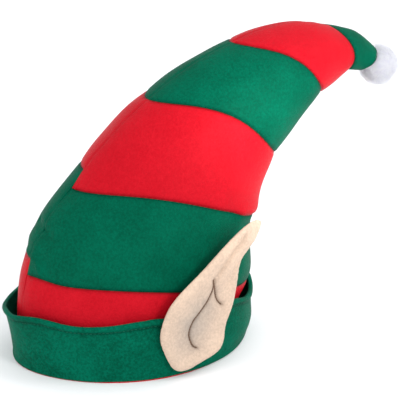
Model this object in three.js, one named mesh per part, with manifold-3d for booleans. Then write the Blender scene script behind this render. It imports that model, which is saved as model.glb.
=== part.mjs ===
// Elf hat of striped felt: a horn-shaped crown of two side panels that are sewn together
// along the front and the back, a turned-up cuff, two padded ears and a pompom.
// Millimetres, +Z up. The front looks toward -Y and the wearer's left is +X.
import * as THREE from 'three';
import { mergeVertices } from 'three/addons/utils/BufferGeometryUtils.js';
import Module from 'manifold-3d';

const wasm = await Module();
wasm.setup();

// Felt and sewing
const crownFelt = 2;
const cuffFelt = 2.4;
const seamGap = 0.3;
const lipFelt = 1.5;
const lipWidth = 2;

// Crown, outside
const openingDepth = 212;
const openingWidth = 168;
const peakHeight = 240;
const peakReach = 262;
const foldDepth = 10;
const seamPull = 1.2;

// Cuff
const cuffHeight = 46;
const cuffFlare = 12;
const cuffBelly = 8;
const cuffClearance = 0.6;
const cuffCurve = 1.5;
const hemWidth = 7;
const hemStand = 0.8;
const hemStep = 0.6;

// Ears
const earHeight = 122;
const earLength = 109;
const earFront = -18;
const earFoot = 3;
const earTurn = 34;
const earLean = 0.04;
const earRimThickness = 9;
const earMiddleThickness = 5;
const earGap = 0.6;

// Pompom
const pompomDiameter = 39;
const pompomBeyond = 11;
const tuftCount = 44;
const tuftLength = 10;
const tuftWidth = 10;
const tuftRoot = 2;
const pompomGap = 0.6;

// How finely the surfaces are cut
const panelColumns = 24;
const earColumns = 30;
const plugColumns = 12;
const plugSteps = 6;
const halvings = 30;
const surfaceStep = 0.001;
const faceStep = 2;

// Sections of the crown from the opening to the tip. along is the share of the way up,
// height and back place the section's middle as shares of peakHeight and peakReach,
// lean tips its plane back in degrees, depth and width are shares of the opening, and
// pinch goes from 0, an oval, to 1, two arcs that meet in a point at the seams.
const crownSections = [
  { along: 0.0, height: 0.0, back: 0.008, lean: 0, depth: 1.0, width: 1.04, pinch: 0.22 },
  { along: 0.155, height: 0.26, back: 0.032, lean: 9, depth: 1.0, width: 0.99, pinch: 0.15 },
  { along: 0.24, height: 0.4, back: 0.072, lean: 12, depth: 0.945, width: 0.93, pinch: 0.12 },
  { along: 0.33, height: 0.54, back: 0.132, lean: 14, depth: 0.84, width: 0.84, pinch: 0.1 },
  { along: 0.43, height: 0.67, back: 0.215, lean: 18, depth: 0.757, width: 0.78, pinch: 0.1 },
  { along: 0.525, height: 0.787, back: 0.313, lean: 22, depth: 0.678, width: 0.72, pinch: 0.1 },
  { along: 0.62, height: 0.892, back: 0.442, lean: 24, depth: 0.605, width: 0.65, pinch: 0.1 },
  { along: 0.72, height: 0.972, back: 0.58, lean: 28, depth: 0.51, width: 0.57, pinch: 0.1 },
  { along: 0.84, height: 1.02, back: 0.757, lean: 54, depth: 0.33, width: 0.38, pinch: 0.12 },
  { along: 0.91, height: 1.005, back: 0.87, lean: 80, depth: 0.2, width: 0.24, pinch: 0.15 },
  { along: 1.0, height: 0.95, back: 0.98, lean: 128, depth: 0.115, width: 0.14, pinch: 0.2 },
];

// Where one stripe ends and the next begins, as shares of the way up, at the front seam,
// the side and the back seam of each panel. wave lifts the seam in the front half and
// lowers it in the back half.
const stripeSeams = [
  { name: 'opening', left: [0, 0, 0], right: [0, 0, 0], wave: 0 },
  { name: 'red to green', left: [0.155, 0.176, 0.165], right: [0.185, 0.19, 0.17], wave: 0.04 },
  { name: 'green to red', left: [0.33, 0.356, 0.332], right: [0.37, 0.37, 0.34], wave: 0.08 },
  { name: 'red to green', left: [0.54, 0.557, 0.505], right: [0.54, 0.557, 0.505], wave: 0.11 },
  { name: 'green to red', left: [0.725, 0.747, 0.69], right: [0.725, 0.745, 0.695], wave: 0.06 },
  { name: 'red to tip', left: [0.887, 0.905, 0.903], right: [0.85, 0.88, 0.9], wave: 0 },
  { name: 'tip end', left: [1, 1, 1], right: [1, 1, 1], wave: 0 },
];

const stripes = [
  { name: 'red_base', colour: 'red', rows: 5 },
  { name: 'green_lower', colour: 'green', rows: 5 },
  { name: 'red_middle', colour: 'red', rows: 6 },
  { name: 'green_upper', colour: 'green', rows: 6 },
  { name: 'red_peak', colour: 'red', rows: 7 },
  { name: 'green_tip', colour: 'green', rows: 4 },
];

// Soft folds and dents. depth is a share of foldDepth, inward where it is negative, and
// reach and spread are the sizes of the fold up the crown and round it in degrees.
const crownFolds = [
  { side: 1, along: 0.28, around: 0, reach: 0.035, spread: 40, depth: 0.3 },
  { side: -1, along: 0.28, around: 0, reach: 0.035, spread: 40, depth: 0.3 },
  { side: 1, along: 0.237, around: 0, reach: 0.012, spread: 26, depth: -0.3 },
  { side: -1, along: 0.237, around: 0, reach: 0.012, spread: 30, depth: -0.3 },
  { side: 1, along: 0.1, around: 160, reach: 0.04, spread: 40, depth: -0.7 },
  { side: -1, along: 0.1, around: 160, reach: 0.04, spread: 40, depth: -0.7 },
  { side: 1, along: 0.37, around: 165, reach: 0.025, spread: 35, depth: 0.35 },
  { side: -1, along: 0.375, around: 170, reach: 0.025, spread: 35, depth: 0.3 },
  { side: 1, along: 0.56, around: 170, reach: 0.02, spread: 40, depth: 0.2 },
  { side: -1, along: 0.56, around: 175, reach: 0.02, spread: 30, depth: 0.2 },
  { side: -1, along: 0.26, around: 150, reach: 0.04, spread: 22, depth: -0.35 },
];

// Share of the way up over which a stripe seam draws the felt in.
const seamPullReach = 0.014;

// Height of the cuff's rim and how far it stands off, round from the front to the back.
const cuffTurns = [
  { around: 0, height: 0.97, flare: 0.75, belly: 0 },
  { around: 45, height: 0.98, flare: 0.5, belly: 0 },
  { around: 90, height: 1.0, flare: 0.2, belly: 0.1 },
  { around: 135, height: 0.96, flare: 0.35, belly: 0.7 },
  { around: 180, height: 0.94, flare: 0.4, belly: 0.9 },
];

// Outline of an ear, back and up as shares of its length and height.
const earOutline = [
  { back: 0, up: 0.29 },
  { back: 0.06, up: 0.15 },
  { back: 0.12, up: 0.05 },
  { back: 0.19, up: 0.01 },
  { back: 0.29, up: 0 },
  { back: 0.42, up: 0.045 },
  { back: 0.51, up: 0.1 },
  { back: 0.565, up: 0.17 },
  { back: 0.61, up: 0.28 },
  { back: 0.7, up: 0.39 },
  { back: 0.73, up: 0.52 },
  { back: 0.77, up: 0.66 },
  { back: 0.82, up: 0.76 },
  { back: 0.91, up: 0.87 },
  { back: 0.99, up: 0.96 },
  { back: 0.97, up: 1 },
  { back: 0.82, up: 0.985 },
  { back: 0.7, up: 0.92 },
  { back: 0.53, up: 0.83 },
  { back: 0.39, up: 0.745 },
  { back: 0.24, up: 0.655 },
  { back: 0.15, up: 0.59 },
  { back: 0.08, up: 0.52 },
  { back: 0.03, up: 0.41 },
];

// Middle of an ear, and its rings from the front of the middle over the edge to the back:
// share of the way out, and how thick the felt stands there, as shares of the thickness
// of the rim and of the middle.
const earMiddle = { back: 0.37, up: 0.32 };
const earRings = [
  { out: 0.4, rim: 0, middle: 1 },
  { out: 0.66, rim: 0.25, middle: 0.75 },
  { out: 0.84, rim: 1, middle: 0 },
  { out: 0.95, rim: 0.9, middle: 0 },
  { out: 1, rim: 0.55, middle: 0 },
  { out: 1, rim: 0.25, middle: 0 },
  { out: 0.93, rim: 0, middle: 0 },
  { out: 0.6, rim: 0, middle: 0 },
  { out: 0.3, rim: 0, middle: 0 },
];

// Profile of the cuff from the bottom of its inner face over the rim to the bottom of its
// outer face: share of its height, and whether the felt and the hem's extra felt count.
const hemShare = 1 - hemWidth / cuffHeight;
const cuffProfile = [
  { share: 0, felt: 0, hem: 0 },
  { share: 0.35, felt: 0, hem: 0 },
  { share: 0.7, felt: 0, hem: 0 },
  { share: 1, felt: 0, hem: 0 },
  { share: 1, felt: 1, hem: 1 },
  { share: hemShare + hemStep / cuffHeight, felt: 1, hem: 1 },
  { share: hemShare, felt: 1, hem: 0 },
  { share: 0.6, felt: 1, hem: 0 },
  { share: 0.35, felt: 1, hem: 0 },
  { share: 0.1, felt: 1, hem: 0 },
  { share: 0.02, felt: 0.7, hem: 0 },
];

// Share of the way up at which the pompom's seat on the crown begins, the part of the
// crown that the cuff can reach, and where round the cuff an ear can lie, as shares of PI.
const plugStart = 0.88;
const cuffReach = 0.4;
const earPlaces = { front: 0.1, rear: 0.9 };

const colours = { red: 0xeb2031, green: 0x02644c, skin: 0xe3cdb8, white: 0xf5f7fd };

function feltMaterial(colour) {
  return new THREE.MeshStandardMaterial({ color: colour, roughness: 0.95, metalness: 0 });
}

function mix(start, end, share) {
  return start + (end - start) * share;
}

// Smooth value of one column of a table at a place on its key column.
function valueAt(table, key, column, place) {
  let row = 0;
  while (row < table.length - 2 && place > table[row + 1][key]) {
    row += 1;
  }
  const slopeAt = (index) => {
    const before = table[Math.max(index - 1, 0)];
    const after = table[Math.min(index + 1, table.length - 1)];
    return (after[column] - before[column]) / (after[key] - before[key]);
  };
  const start = table[row];
  const end = table[row + 1];
  const span = end[key] - start[key];
  const t = (place - start[key]) / span;
  const rise = end[column] - start[column];
  const a = slopeAt(row) * span - rise;
  const b = rise - slopeAt(row + 1) * span;
  return mix(start[column], end[column], t) + t * (1 - t) * (a * (1 - t) + b * t);
}

// Point on the outside of a panel. side is 1 on the wearer's left and -1 on the right,
// around runs from 0 at the front seam to PI at the back seam.
function crownPoint(side, along, around) {
  const at = (column) => valueAt(crownSections, 'along', column, along);
  const lean = THREE.MathUtils.degToRad(at('lean'));
  const halfDepth = at('depth') * openingDepth / 2;
  const halfWidth = at('width') * openingWidth / 2 - seamGap / 2;
  const pinch = at('pinch');
  const sine = Math.sin(around);
  const across = sine * (1 - pinch + pinch * sine);
  const push = foldAt(side, along, around) - pullAt(side, along, around);
  const forward = Math.cos(around) * (halfDepth + push);
  return new THREE.Vector3(
    side * (seamGap / 2 + across * (halfWidth + push)),
    at('back') * peakReach - forward * Math.cos(lean),
    at('height') * peakHeight + forward * Math.sin(lean),
  );
}

function foldAt(side, along, around) {
  const degrees = THREE.MathUtils.radToDeg(around);
  let push = 0;
  for (const fold of crownFolds) {
    if (fold.side === side) {
      const up = (along - fold.along) / fold.reach;
      const round = (degrees - fold.around) / fold.spread;
      push += fold.depth * foldDepth * Math.exp(-up * up - round * round);
    }
  }
  return push;
}

// How far the nearest stripe seam draws the felt in.
function pullAt(side, along, around) {
  let pull = 0;
  for (let index = 1; index < stripeSeams.length - 1; index += 1) {
    const away = (along - seamAlong(index, side, around)) / seamPullReach;
    pull += seamPull * Math.exp(-away * away);
  }
  return pull;
}

// Unit vector out of the felt, from two short steps along the surface.
function crownNormal(side, along, around) {
  const low = crownPoint(side, Math.max(along - surfaceStep, 0), around);
  const high = crownPoint(side, Math.min(along + surfaceStep, 1), around);
  const front = crownPoint(side, along, Math.max(around - surfaceStep, 0));
  const back = crownPoint(side, along, Math.min(around + surfaceStep, Math.PI));
  const normal = high.sub(low).cross(front.sub(back));
  return normal.multiplyScalar(side).normalize();
}

// Share of the way up at which stripe seam number index crosses the panel.
function seamAlong(index, side, around) {
  const [front, middle, back] = side > 0 ? stripeSeams[index].left : stripeSeams[index].right;
  const share = (1 - Math.cos(around)) / 2;
  const bulge = 4 * middle - 2 * (front + back);
  const wave = stripeSeams[index].wave * (1 - 2 * share);
  return mix(front, back, share) + (bulge + wave) * share * (1 - share);
}

// The same, moved up or down by half the gap that two stripes keep between them.
function stripeEdge(index, side, around, direction) {
  const along = seamAlong(index, side, around);
  if (index === 0 || index === stripeSeams.length - 1) {
    return along;
  }
  const above = crownPoint(side, along + surfaceStep, around);
  const below = crownPoint(side, along - surfaceStep, around);
  return along + direction * seamGap * surfaceStep / above.distanceTo(below);
}

// Closed body through loops of points that are as long as each other. It goes round and
// joins its first loop, or it is capped at both ends, flat in the plane of Y and Z.
function bodyThrough(loops, round) {
  const size = loops[0].length;
  const positions = loops.flat().flatMap((point) => [point.x, point.y, point.z]);
  const faces = [];
  const last = round ? loops.length : loops.length - 1;
  for (let i = 0; i < last; i += 1) {
    for (let j = 0; j < size; j += 1) {
      const next = (i + 1) % loops.length;
      const a = i * size + j;
      const b = i * size + (j + 1) % size;
      const c = next * size + (j + 1) % size;
      const d = next * size + j;
      faces.push([a, b, c], [a, c, d]);
    }
  }
  if (!round) {
    const outline = (loop) => loop.map((point) => new THREE.Vector2(point.y, point.z));
    const end = (loops.length - 1) * size;
    for (const [a, b, c] of THREE.ShapeUtils.triangulateShape(outline(loops[0]), [])) {
      faces.push(orient(loops[0], a, b, c, 0));
    }
    for (const [a, b, c] of THREE.ShapeUtils.triangulateShape(outline(loops.at(-1)), [])) {
      faces.push(orient(loops.at(-1), a, b, c, end).reverse());
    }
  }
  return facingOut(positions, faces);
}

// A cap's triangle turned the way that its loop runs.
function orient(loop, a, b, c, offset) {
  const area = loop.reduce((sum, point, i) => {
    const next = loop[(i + 1) % loop.length];
    return sum + point.y * next.z - next.y * point.z;
  }, 0);
  const turn = (loop[b].y - loop[a].y) * (loop[c].z - loop[a].z)
    - (loop[c].y - loop[a].y) * (loop[b].z - loop[a].z);
  const same = Math.sign(turn) === Math.sign(area);
  return same ? [offset + a, offset + c, offset + b] : [offset + a, offset + b, offset + c];
}

// Geometry with all its faces turned out.
function facingOut(positions, faces) {
  const corner = (index) => new THREE.Vector3().fromArray(positions, index * 3);
  let volume = 0;
  for (const [a, b, c] of faces) {
    volume += corner(a).dot(corner(b).cross(corner(c)));
  }
  const ordered = volume > 0 ? faces : faces.map(([a, b, c]) => [a, c, b]);
  const geometry = new THREE.BufferGeometry();
  geometry.setAttribute('position', new THREE.Float32BufferAttribute(positions, 3));
  geometry.setIndex(ordered.flat());
  return geometry;
}

// One felt strip of one panel. The lowest strip also turns out into the narrow lip that
// the hat stands on.
function stripeGeometry(side, index) {
  const rows = stripes[index].rows;
  const loops = [];
  for (let column = 0; column <= panelColumns; column += 1) {
    const around = Math.PI * column / panelColumns;
    const low = stripeEdge(index, side, around, 1);
    const high = stripeEdge(index + 1, side, around, -1);
    const outer = [];
    const inner = [];
    for (let row = 0; row <= rows; row += 1) {
      const along = mix(low, high, row / rows);
      const point = crownPoint(side, along, around);
      const behind = crownNormal(side, along, around).multiplyScalar(-crownFelt).add(point);
      behind.x = side * Math.max(side * behind.x, seamGap / 2);
      outer.push(point);
      inner.push(behind);
    }
    if (index === 0) {
      inner[0].z = 0;
      const edge = outer.shift();
      const root = crownAtHeight(side, around, lipFelt);
      const out = outwards(side, around).multiplyScalar(lipWidth);
      const lip = edge.clone().add(out);
      const seamX = side * Math.max(side * lip.x, seamGap / 2);
      outer.unshift(
        new THREE.Vector3(seamX, lip.y, 0),
        new THREE.Vector3(seamX, lip.y, lipFelt),
        root,
      );
    }
    loops.push([...outer, ...inner.reverse()]);
  }
  return bodyThrough(loops, false);
}

// Level direction out of the crown's oval.
function outwards(side, around) {
  return new THREE.Vector3(
    side * Math.sin(around) / openingWidth,
    -Math.cos(around) / openingDepth,
    0,
  ).normalize();
}

// Point of the crown at a height above the opening.
function crownAtHeight(side, around, height) {
  let low = 0;
  let high = cuffReach;
  for (let step = 0; step < halvings; step += 1) {
    const middle = (low + high) / 2;
    if (crownPoint(side, middle, around).z < height) {
      low = middle;
    } else {
      high = middle;
    }
  }
  return crownPoint(side, (low + high) / 2, around);
}

// Point of the cuff at a share of its height, out from its inner face by some felt.
function cuffPoint(side, around, share, out) {
  const degrees = THREE.MathUtils.radToDeg(around);
  const bottom = lipFelt + seamGap;
  const height = valueAt(cuffTurns, 'around', 'height', degrees) * cuffHeight;
  const flare = valueAt(cuffTurns, 'around', 'flare', degrees) * cuffFlare;
  const z = bottom + share * height;
  const belly = valueAt(cuffTurns, 'around', 'belly', degrees) * cuffBelly;
  const stand = cuffClearance + flare * share ** cuffCurve + belly * 4 * share * (1 - share) + out;
  const point = crownAtHeight(side, around, z).add(outwards(side, around).multiplyScalar(stand));
  point.z = z;
  return point;
}

function cuffGeometry() {
  const loops = [];
  for (let column = 0; column < 2 * panelColumns; column += 1) {
    const side = column <= panelColumns ? 1 : -1;
    const turn = Math.PI * column / panelColumns;
    const around = side > 0 ? turn : 2 * Math.PI - turn;
    const onSeam = column % panelColumns === 0;
    loops.push(cuffProfile.map(({ share, felt, hem }) => {
      const point = cuffPoint(side, around, share, felt * cuffFelt + hem * hemStand);
      return onSeam ? point.setX(0) : point;
    }));
  }
  return bodyThrough(loops, true);
}

// How far out the cuff's face lies at a place behind the middle, on the left side.
function cuffFace(back, share) {
  let front = earPlaces.front * Math.PI;
  let rear = earPlaces.rear * Math.PI;
  for (let step = 0; step < halvings; step += 1) {
    const middle = (front + rear) / 2;
    if (cuffPoint(1, middle, share, 0).y < back) {
      front = middle;
    } else {
      rear = middle;
    }
  }
  return cuffPoint(1, (front + rear) / 2, share, cuffFelt + hemStand).x;
}

// Back of an ear: it lies on the cuff, and past earTurn and above the rim it goes on
// straight, so that its tip stands off the crown.
function earSeat(back, up) {
  const y = Math.min(back, earTurn);
  const share = THREE.MathUtils.clamp(up / cuffHeight, 0, 1);
  const face = cuffFace(y, share);
  const slope = (face - cuffFace(y - faceStep, share)) / faceStep;
  const above = Math.max(up - cuffHeight, 0);
  return face + slope * Math.max(back - earTurn, 0) + above * earLean + earGap;
}

function earGeometry(side) {
  const outline = new THREE.CatmullRomCurve3(
    earOutline.map(({ back, up }) => new THREE.Vector3(0, back * earLength, up * earHeight)),
    true,
    'centripetal',
  );
  const middle = new THREE.Vector3(0, earMiddle.back * earLength, earMiddle.up * earHeight);
  const place = (point, thickness) => {
    const back = earFront + point.y;
    const up = earFoot + point.z;
    return new THREE.Vector3(side * (earSeat(back, up) + thickness), back, up);
  };
  const rings = earRings.map((ring) => {
    const thickness = ring.rim * earRimThickness + ring.middle * earMiddleThickness;
    const loop = [];
    for (let column = 0; column < earColumns; column += 1) {
      const edge = outline.getPointAt(column / earColumns);
      loop.push(place(middle.clone().lerp(edge, ring.out), thickness));
    }
    return loop;
  });
  return skinOver(rings, place(middle, earMiddleThickness), place(middle, 0));
}

// Closed body over rings of points, with a point in the middle of each end.
function skinOver(rings, firstPole, lastPole) {
  const size = rings[0].length;
  const points = [...rings.flat(), firstPole, lastPole];
  const first = rings.length * size;
  const lastRing = first - size;
  const faces = [];
  for (let j = 0; j < size; j += 1) {
    const k = (j + 1) % size;
    for (let i = 0; i < rings.length - 1; i += 1) {
      faces.push([i * size + j, i * size + k, (i + 1) * size + k]);
      faces.push([i * size + j, (i + 1) * size + k, (i + 1) * size + j]);
    }
    faces.push([first, k, j], [first + 1, lastRing + j, lastRing + k]);
  }
  return facingOut(points.flatMap((point) => [point.x, point.y, point.z]), faces);
}

function toSolid(geometry) {
  const bare = geometry.clone();
  bare.deleteAttribute('normal');
  bare.deleteAttribute('uv');
  const merged = mergeVertices(bare, 1e-4);
  const vertProperties = Float32Array.from(merged.attributes.position.array);
  const triVerts = Uint32Array.from(merged.index.array);
  return new wasm.Manifold(new wasm.Mesh({ numProp: 3, vertProperties, triVerts }));
}

function toGeometry(solid) {
  const mesh = solid.getMesh();
  const geometry = new THREE.BufferGeometry();
  geometry.setAttribute('position', new THREE.BufferAttribute(mesh.vertProperties, 3));
  geometry.setIndex(new THREE.BufferAttribute(mesh.triVerts, 1));
  return geometry;
}

// Middle of a section and the direction in which the crown runs there.
function axisAt(along) {
  const front = crownPoint(1, along, 0);
  const back = crownPoint(1, along, Math.PI);
  const middle = front.clone().add(back).multiplyScalar(0.5).setX(0);
  const across = front.sub(back).normalize();
  return { middle, heading: new THREE.Vector3(1, 0, 0).cross(across).multiplyScalar(-1) };
}

// Solid plug of the end of the crown, larger by the gap, that the pompom is sewn round.
function tipPlug() {
  const loops = [];
  const middles = [];
  for (let step = 0; step <= plugSteps; step += 1) {
    const along = mix(plugStart, 1, step / plugSteps);
    const { middle, heading } = axisAt(along);
    const push = step === plugSteps ? pompomGap : 0;
    const loop = [];
    for (let column = 0; column < 2 * plugColumns; column += 1) {
      const side = column <= plugColumns ? 1 : -1;
      const turn = Math.PI * column / plugColumns;
      const point = crownPoint(side, along, side > 0 ? turn : 2 * Math.PI - turn);
      const radius = point.distanceTo(middle) + pompomGap;
      loop.push(point.sub(middle).setLength(radius).add(middle).addScaledVector(heading, push));
    }
    loops.push(loop);
    middles.push(middle.addScaledVector(heading, push));
  }
  return toSolid(skinOver(loops, middles[0], middles.at(-1)));
}

// Ball of plush: soft tufts spread evenly over a round core, fused into one body.
function pompomGeometry() {
  const { middle, heading } = axisAt(1);
  const centre = middle.clone().addScaledVector(heading, pompomBeyond);
  const tuftRadius = (pompomDiameter - tuftLength) / 2;
  let ball = toSolid(new THREE.IcosahedronGeometry(tuftRadius + tuftRoot, 1));
  const goldenAngle = Math.PI * (3 - Math.sqrt(5));
  const upright = new THREE.Vector3(0, 1, 0);
  for (let count = 0; count < tuftCount; count += 1) {
    const level = 1 - 2 * (count + 0.5) / tuftCount;
    const reach = Math.sqrt(1 - level * level);
    const turn = goldenAngle * count;
    const out = new THREE.Vector3(reach * Math.cos(turn), reach * Math.sin(turn), level);
    const tuft = new THREE.IcosahedronGeometry(0.5, 0);
    tuft.scale(tuftWidth, tuftLength, tuftWidth);
    tuft.applyQuaternion(new THREE.Quaternion().setFromUnitVectors(upright, out));
    tuft.translate(...out.multiplyScalar(tuftRadius).toArray());
    ball = ball.add(toSolid(tuft));
  }
  return toGeometry(ball.translate(centre.toArray()).subtract(tipPlug()));
}

function addPiece(group, name, geometry, colour) {
  const mesh = new THREE.Mesh(geometry, feltMaterial(colour));
  mesh.name = name;
  group.add(mesh);
}

const hat = new THREE.Group();
for (const [sideName, side] of [['left', 1], ['right', -1]]) {
  stripes.forEach((stripe, index) => {
    addPiece(hat, `${stripe.name}_${sideName}`, stripeGeometry(side, index), colours[stripe.colour]);
  });
  addPiece(hat, `ear_${sideName}`, earGeometry(side), colours.skin);
}
addPiece(hat, 'cuff', cuffGeometry(), colours.green);
addPiece(hat, 'pompom', pompomGeometry(), colours.white);

// The hat stands on the middle of its footprint.
const box = new THREE.Box3().setFromObject(hat, true);
hat.position.set(-(box.min.x + box.max.x) / 2, -(box.min.y + box.max.y) / 2, -box.min.z);

export default hat;
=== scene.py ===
import math
import random

import bmesh
import bpy
from mathutils import Matrix, Vector, noise
from mathutils.bvhtree import BVHTree
from mathutils.kdtree import KDTree


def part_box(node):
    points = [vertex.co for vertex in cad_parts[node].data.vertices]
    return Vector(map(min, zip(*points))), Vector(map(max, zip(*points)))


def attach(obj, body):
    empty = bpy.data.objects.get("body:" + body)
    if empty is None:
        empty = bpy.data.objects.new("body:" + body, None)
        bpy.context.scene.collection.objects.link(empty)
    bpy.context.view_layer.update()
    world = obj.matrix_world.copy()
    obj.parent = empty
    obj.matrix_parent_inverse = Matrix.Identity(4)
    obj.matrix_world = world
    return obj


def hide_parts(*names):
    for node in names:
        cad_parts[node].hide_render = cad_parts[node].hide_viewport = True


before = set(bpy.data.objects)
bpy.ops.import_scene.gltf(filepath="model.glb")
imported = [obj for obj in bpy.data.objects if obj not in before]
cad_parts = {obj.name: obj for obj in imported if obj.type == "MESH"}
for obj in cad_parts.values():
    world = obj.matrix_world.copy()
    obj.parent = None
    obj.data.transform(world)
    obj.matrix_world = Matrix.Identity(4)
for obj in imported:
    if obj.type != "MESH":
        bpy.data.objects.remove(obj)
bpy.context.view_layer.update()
print("frame loaded")

# Metres, +Z up, front toward -Y, the wearer's left is +X


# Camera, light and floor

shot = {
    "azimuth": 60,
    "elevation": 18,
    "distance": 1.25,
    "target": (0, -0.0031, 0.13),
    "lens": 125,
    "shiftX": -0.0171,
    "shiftY": -0.0321,
}

lamps = {
    "key": {"azimuth": 106, "elevation": 26, "spread": 14, "power": 1.0},
    "fill": {"azimuth": 8, "elevation": 22, "spread": 60, "power": 0.62},
    "back": {"azimuth": 190, "elevation": 50, "spread": 60, "power": 0.5},
}

# Softboxes near the peak, the low front and the pompom, and a spot on the upper green stripe
softboxes = {
    "peak softbox": {
        "aim": (0.03, 0.1, 0.225),
        "azimuth": 106,
        "elevation": 32,
        "distance": 0.32,
        "size": 0.16,
        "power": 0.45,
    },
    "low softbox": {
        "aim": (0.04, -0.12, 0.06),
        "azimuth": 22,
        "elevation": 8,
        "distance": 0.5,
        "size": 0.25,
        "power": 0.26,
    },
    "pompom softbox": {
        "aim": (0, 0.178, 0.226),
        "azimuth": 62,
        "elevation": -14,
        "distance": 0.22,
        "size": 0.12,
        "power": 0.24,
    },
}

spot = {
    "aim": (0.052, 0.004, 0.213),
    "azimuth": 110,
    "elevation": 24,
    "distance": 0.6,
    "beam": 11.5,
    "radius": 0.05,
    "power": 22,
}

studio = {
    "sky": (0.985, 0.99, 1, 1),
    "skyStrength": 1.07,
    "floor": (0.865, 0.87, 0.885, 1),
    "floorRoughness": 0.9,
    "floorSpecular": 0.1,
    "floorSize": 40,
    "exposure": 0.0,
}


def awayAt(azimuth, elevation):
    turn = math.radians(azimuth)
    rise = math.radians(elevation)
    level = math.cos(rise)
    return Vector((math.sin(turn) * level, -math.cos(turn) * level, math.sin(rise)))


def link(name, data):
    piece = bpy.data.objects.new(name, data)
    bpy.context.scene.collection.objects.link(piece)
    return piece


def makeCamera():
    data = bpy.data.cameras.new("camera")
    data.lens = shot["lens"]
    data.shift_x = shot["shiftX"]
    data.shift_y = shot["shiftY"]
    camera = link("camera", data)
    away = awayAt(shot["azimuth"], shot["elevation"])
    camera.location = Vector(shot["target"]) + away * shot["distance"]
    camera.rotation_euler = away.to_track_quat("Z", "Y").to_euler()
    bpy.context.scene.camera = camera


def hangLamp(name, data, lamp):
    data.energy = lamp["power"]
    away = awayAt(lamp["azimuth"], lamp["elevation"])
    light = link(name, data)
    light.location = Vector(lamp["aim"]) + away * lamp["distance"]
    light.rotation_euler = away.to_track_quat("Z", "Y").to_euler()
    light.visible_camera = False


def makeLamps():
    for name, lamp in lamps.items():
        data = bpy.data.lights.new(name, "SUN")
        data.angle = math.radians(lamp["spread"])
        data.energy = lamp["power"]
        away = awayAt(lamp["azimuth"], lamp["elevation"])
        light = link(name, data)
        light.location = away
        light.rotation_euler = away.to_track_quat("Z", "Y").to_euler()
    for name, softbox in softboxes.items():
        data = bpy.data.lights.new(name, "AREA")
        data.shape = "DISK"
        data.size = softbox["size"]
        hangLamp(name, data, softbox)
    data = bpy.data.lights.new("spot", "SPOT")
    data.spot_size = math.radians(spot["beam"])
    data.spot_blend = 1.0
    data.shadow_soft_size = spot["radius"]
    hangLamp("spot", data, spot)


def makeStudio():
    world = bpy.data.worlds.new("studio")
    world.use_nodes = True
    sky = world.node_tree.nodes["Background"]
    sky.inputs["Color"].default_value = studio["sky"]
    sky.inputs["Strength"].default_value = studio["skyStrength"]
    bpy.context.scene.world = world
    view = bpy.context.scene.view_settings
    view.view_transform = "Standard"
    view.exposure = studio["exposure"]
    bm = bmesh.new()
    bmesh.ops.create_grid(bm, x_segments=1, y_segments=1, size=studio["floorSize"] / 2)
    floor = link("floor", bpy.data.meshes.new("floor"))
    bm.to_mesh(floor.data)
    bm.free()
    paint = bpy.data.materials.new("pale floor")
    paint.use_nodes = True
    shader = paint.node_tree.nodes["Principled BSDF"]
    shader.inputs["Base Color"].default_value = studio["floor"]
    shader.inputs["Roughness"].default_value = studio["floorRoughness"]
    shader.inputs["Specular IOR Level"].default_value = studio["floorSpecular"]
    floor.data.materials.append(paint)


makeCamera()
makeLamps()
makeStudio()
print("camera, lamps and floor ready")


# Materials

napGroup = {
    "cloudScale": 34,
    "napScale": 430,
    "swirlScale": 70,
    "swirlReach": 0.01,
    "fibreScale": 210,
    "fibreStretch": 7,
    "fineScale": 2200,
    "bumpDistance": 0.0006,
    # Tint of the painted shade in the ear's cupped hollow
    "hollowTint": (0.68, 0.75, 0.82, 1),
}

# For each felt: its dye range and mottle, how dark its painted shade along grooves is, its relief
# and gloss
feltLooks = {
    "red_felt": {
        "dark": (0.38, 0.0024, 0.0085, 1),
        "light": (0.545, 0.0085, 0.0185, 1),
        "mottle": 0.7,
        "seam": 0.75,
        "relief": 0.75,
        "specular": 0.03,
        "sheen": 0.0,
        "sheenTint": (1, 0.6, 0.6, 1),
    },
    "green_felt": {
        "dark": (0.0002, 0.045, 0.023, 1),
        "light": (0.0006, 0.13, 0.072, 1),
        "mottle": 0.6,
        "seam": 0.75,
        "relief": 0.85,
        "specular": 0.012,
        "sheen": 0.0,
        "sheenTint": (0.6, 1, 0.85, 1),
    },
    "cuff_felt": {
        "dark": (0.0002, 0.052, 0.027, 1),
        "light": (0.0008, 0.142, 0.082, 1),
        "mottle": 1.0,
        "seam": 0.75,
        "relief": 0.9,
        "specular": 0.012,
        "sheen": 0.0,
        "sheenTint": (0.6, 1, 0.85, 1),
    },
    "ear_felt": {
        "dark": (0.45, 0.34, 0.265, 1),
        "light": (0.74, 0.55, 0.41, 1),
        "mottle": 0.8,
        "seam": 0.55,
        "relief": 0.5,
        "specular": 0.08,
        "sheen": 0.05,
        "sheenTint": (1, 0.95, 0.9, 1),
    },
}


def addNode(tree, kind, values=None, **settings):
    node = tree.nodes.new(kind)
    for key, value in settings.items():
        setattr(node, key, value)
    for key, value in (values or {}).items():
        node.inputs[key].default_value = value
    return node


def join(tree, source, target):
    tree.links.new(source, target)


def addMath(tree, operation, first, second):
    node = addNode(tree, "ShaderNodeMath", operation=operation)
    for place, value in enumerate((first, second)):
        if isinstance(value, (int, float)):
            node.inputs[place].default_value = value
        else:
            join(tree, value, node.inputs[place])
    return node.outputs[0]


def addRange(tree, value, low, high, start=0.0, end=1.0):
    values = {"From Min": low, "From Max": high, "To Min": start, "To Max": end}
    node = addNode(tree, "ShaderNodeMapRange", values)
    join(tree, value, node.inputs["Value"])
    return node.outputs["Result"]
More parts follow.
